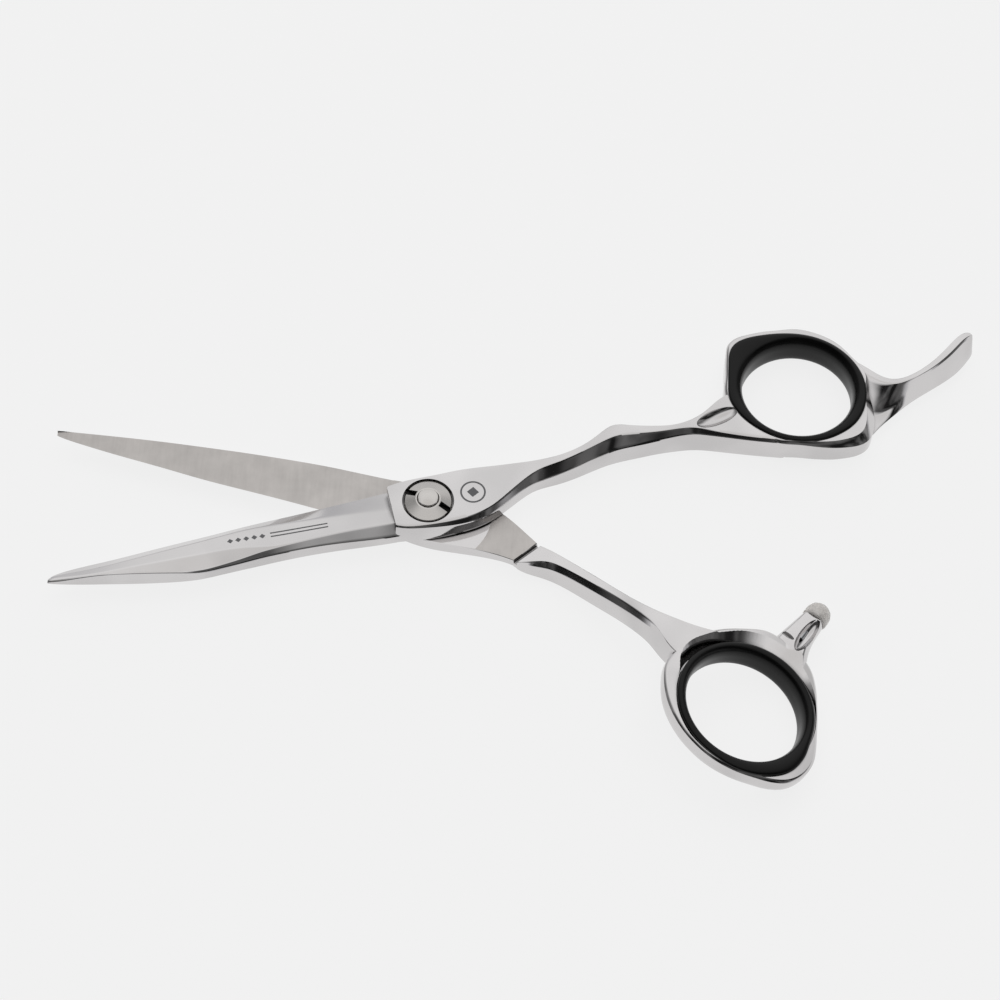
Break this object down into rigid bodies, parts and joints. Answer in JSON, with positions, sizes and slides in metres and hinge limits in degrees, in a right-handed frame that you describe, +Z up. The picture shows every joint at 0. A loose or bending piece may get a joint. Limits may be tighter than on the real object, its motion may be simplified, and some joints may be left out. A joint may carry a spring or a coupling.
{
  "type": "hair cutting shears",
  "caption": "Hair cutting shears drawn half open: two polished blades on a bearing pivot with a slotted tension nut, offset finger rings with inserts, a fixed finger rest and a soft bumper.",
  "frame": {"origin": "centre of the flat underside of the pivot bolt's head, on the pivot axis and on the surface that the shears lie on", "axes": "+X from the pivot towards the handles, along the line midway between the two blades, +Z up along the pivot axis, out of the face that carries the tension nut, +Y towards the finger ring"},
  "size_m": [0.1724, 0.0991, 0.0118],
  "materials": {
    "polished_steel": "mirror polished stainless steel, satin on the inner face",
    "insert_polymer": "satin black moulded polymer",
    "bumper_polymer": "translucent grey soft polymer",
    "hardware_steel": "turned stainless steel",
    "brushed_nut_steel": "circular turned stainless steel",
    "washer_polymer": "natural acetal",
    "bush_bronze": "sintered bronze",
    "cage_brass": "pressed brass"
  },
  "bodies": {
    "finger_side": {"finger_half": "polished_steel", "finger_insert": "insert_polymer", "pivot_bush": "bush_bronze", "thrust_washer": "washer_polymer", "upper_race": "hardware_steel"},
    "thumb_side": {"thumb_half": "polished_steel", "thumb_insert": "insert_polymer", "bumper_stud": "hardware_steel", "bumper_pad": "bumper_polymer", "pivot_bolt": "hardware_steel", "lower_race": "hardware_steel"},
    "tension_dial": {"tension_nut": "brushed_nut_steel", "disc_spring": "hardware_steel"},
    "bearing": {"ball_cage": "cage_brass", "bearing_balls": "hardware_steel"}
  },
  "joints": [
    {"name": "pivot", "type": "hinge", "parent": "finger_side", "child": "thumb_side", "pos_m": [0, 0, 0.0039], "axis": [0, 0, 1], "range_deg": [-70, 26]},
    {"name": "tension", "type": "hinge", "parent": "thumb_side", "child": "tension_dial", "pos_m": [0, 0, 0.007], "axis": [0, 0, 1], "range_deg": [-180, 180]},
    {"name": "bearing_roll", "type": "hinge", "parent": "finger_side", "child": "bearing", "pos_m": [0, 0, 0.0039], "axis": [0, 0, 1], "range_deg": [-36, 14]}
  ],
  "couplings": [
    {"joint": "bearing_roll", "follows": "pivot", "ratio": 0.5}
  ]
}
